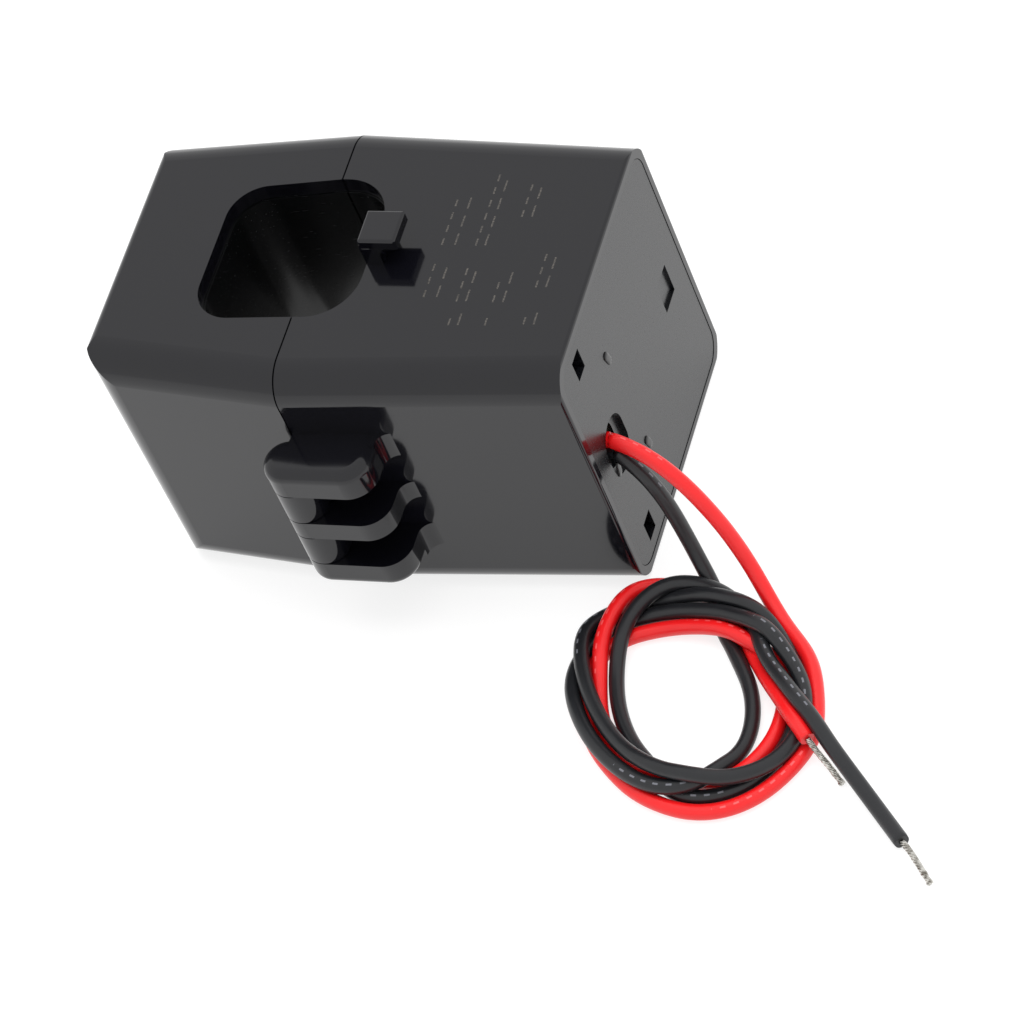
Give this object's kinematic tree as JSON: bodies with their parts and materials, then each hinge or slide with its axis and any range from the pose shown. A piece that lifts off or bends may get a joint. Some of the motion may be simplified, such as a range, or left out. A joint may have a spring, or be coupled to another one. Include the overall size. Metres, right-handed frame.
{
  "type": "split-core current transformer",
  "caption": "Small hinged split-core current transformer: tapered black housing with a window for a cable, latched cap, tie hook, and red and black flying leads.",
  "frame": {"origin": "where the conductor window's axis crosses the back rest face, at the split between the fixed part and the cap", "axes": "+X from the cap's end to the lead end, +Y from the hinge side to the latch side, +Z out of the front face along the measured conductor"},
  "size_m": [0.0811, 0.0621, 0.0332],
  "materials": {
    "housing": "glossy black moulded plastic",
    "liner": "glossy black moulded plastic",
    "cover": "smooth black moulded plastic",
    "core": "ground soft-magnetic core",
    "bobbin": "natural moulded nylon",
    "copper": "enamelled copper wire",
    "tape": "polyester insulating tape",
    "sleeve": "heat-shrunk sleeve",
    "red_insulation": "satin extruded vinyl insulation",
    "black_insulation": "satin extruded vinyl insulation",
    "anchor": "hot-melt adhesive",
    "pin_steel": "drawn steel",
    "spring_steel": "rolled spring strip",
    "tinned_copper": "solder-tinned twisted strands"
  },
  "bodies": {
    "base": {"base_shell": "housing", "base_liner": "liner", "end_cover": "cover", "base_core": "core", "bobbin_front": "bobbin", "bobbin_back": "bobbin", "secondary_winding": "copper", "winding_tape": "tape", "start_tail": "copper", "finish_tail": "copper", "red_splice_sleeve": "sleeve", "black_splice_sleeve": "sleeve", "red_lead_stub": "red_insulation", "black_lead_stub": "black_insulation", "lead_anchor": "anchor", "hinge_pin": "pin_steel", "red_lead": "red_insulation", "black_lead": "black_insulation", "lead_coil": "black_insulation", "red_tail": "red_insulation", "black_tail": "black_insulation", "red_tinned_end": "tinned_copper", "black_tinned_end": "tinned_copper"},
    "cap": {"cap_shell": "housing", "cap_liner": "liner", "cap_core": "core", "core_spring": "spring_steel"}
  },
  "joints": [
    {"name": "cap_hinge", "type": "hinge", "parent": "base", "child": "cap", "pos_m": [0, -0.018, 0.015], "axis": [0, 0, 1], "range_deg": [0, 180]}
  ]
}
